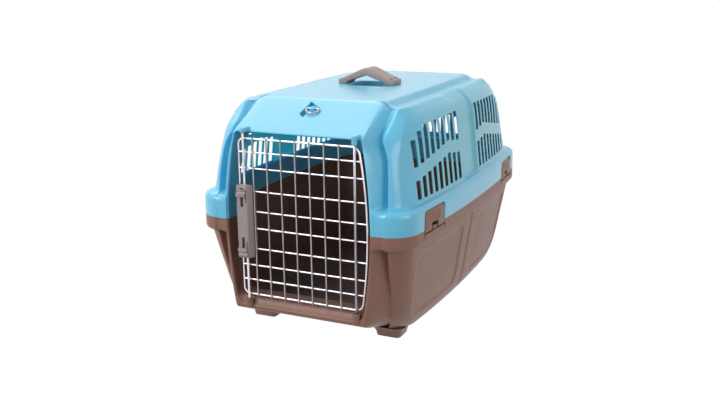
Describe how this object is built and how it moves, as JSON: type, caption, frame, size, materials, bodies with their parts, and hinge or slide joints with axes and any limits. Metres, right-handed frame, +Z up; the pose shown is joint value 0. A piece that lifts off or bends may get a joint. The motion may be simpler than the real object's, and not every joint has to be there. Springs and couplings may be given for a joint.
{
  "type": "pet travel carrier",
  "caption": "Two-part moulded travel carrier for a bird or small pet, with a hinged wire door, pinch latch, side clips, vent slots and a carrying handle.",
  "frame": {"origin": "middle of the whole part's plan, latch grips included, on the plane that the feet stand on", "axes": "+Z up, the door faces -Y, X runs across the cabin"},
  "size_m": [0.315, 0.473, 0.3265],
  "materials": {
    "blue_plastic": "semi-gloss moulded, light sky blue",
    "taupe_plastic": "satin moulded, taupe brown",
    "latch_plastic": "satin moulded, greyish taupe",
    "door_steel": "bright coated wire",
    "screw_steel": "plain plated steel"
  },
  "bodies": {
    "cabin": {"lower_shell": "taupe_plastic", "upper_shell": "blue_plastic", "handle": "taupe_plastic", "handle_screws": "screw_steel", "clip_pins": "screw_steel"},
    "door": {"door_outer_wire": "door_steel", "door_cross_wires": "door_steel", "door_upright_wires": "door_steel", "door_hinge_rod": "door_steel", "latch_housing": "latch_plastic", "latch_back_plate": "latch_plastic", "latch_screws": "screw_steel"},
    "upper_latch": {"upper_latch_slider": "latch_plastic", "upper_latch_bolt": "door_steel", "upper_latch_spring": "screw_steel"},
    "lower_latch": {"lower_latch_slider": "latch_plastic", "lower_latch_bolt": "door_steel", "lower_latch_spring": "screw_steel"},
    "front_right_clip": {"front_right_clip": "taupe_plastic"},
    "rear_right_clip": {"rear_right_clip": "taupe_plastic"},
    "front_left_clip": {"front_left_clip": "taupe_plastic"},
    "rear_left_clip": {"rear_left_clip": "taupe_plastic"},
    "visor_loop": {"visor_loop": "screw_steel"}
  },
  "joints": [
    {"name": "door_hinge", "type": "hinge", "parent": "cabin", "child": "door", "pos_m": [0.0802, -0.2222, 0.158], "axis": [0, 0, 1], "range_deg": [0, 120]},
    {"name": "upper_latch_slide", "type": "slide", "parent": "door", "child": "upper_latch", "axis": [0, 0, 1], "range_m": [0, 0.0035], "stiffness_N_per_m": 150, "springref_m": 0.0035, "deforming": ["upper_latch_spring"]},
    {"name": "lower_latch_slide", "type": "slide", "parent": "door", "child": "lower_latch", "axis": [0, 0, -1], "range_m": [0, 0.0035], "stiffness_N_per_m": 150, "springref_m": 0.0035, "deforming": ["lower_latch_spring"]},
    {"name": "front_right_clip_hinge", "type": "hinge", "parent": "cabin", "child": "front_right_clip", "pos_m": [0.14853, -0.16335, 0.1525], "axis": [0.0737, 0.9973, 0], "range_deg": [0, 100]},
    {"name": "rear_right_clip_hinge", "type": "hinge", "parent": "cabin", "child": "rear_right_clip", "pos_m": [0.14853, 0.17625, 0.1525], "axis": [-0.0737, 0.9973, 0], "range_deg": [0, 100]},
    {"name": "front_left_clip_hinge", "type": "hinge", "parent": "cabin", "child": "front_left_clip", "pos_m": [-0.14853, -0.16335, 0.1525], "axis": [0.0737, -0.9973, 0], "range_deg": [0, 100]},
    {"name": "rear_left_clip_hinge", "type": "hinge", "parent": "cabin", "child": "rear_left_clip", "pos_m": [-0.14853, 0.17625, 0.1525], "axis": [-0.0737, -0.9973, 0], "range_deg": [0, 100]},
    {"name": "visor_loop_hinge", "type": "hinge", "parent": "cabin", "child": "visor_loop", "pos_m": [0.001, -0.17273, 0.2946], "axis": [-1, 0, 0], "range_deg": [0, 150]}
  ]
}
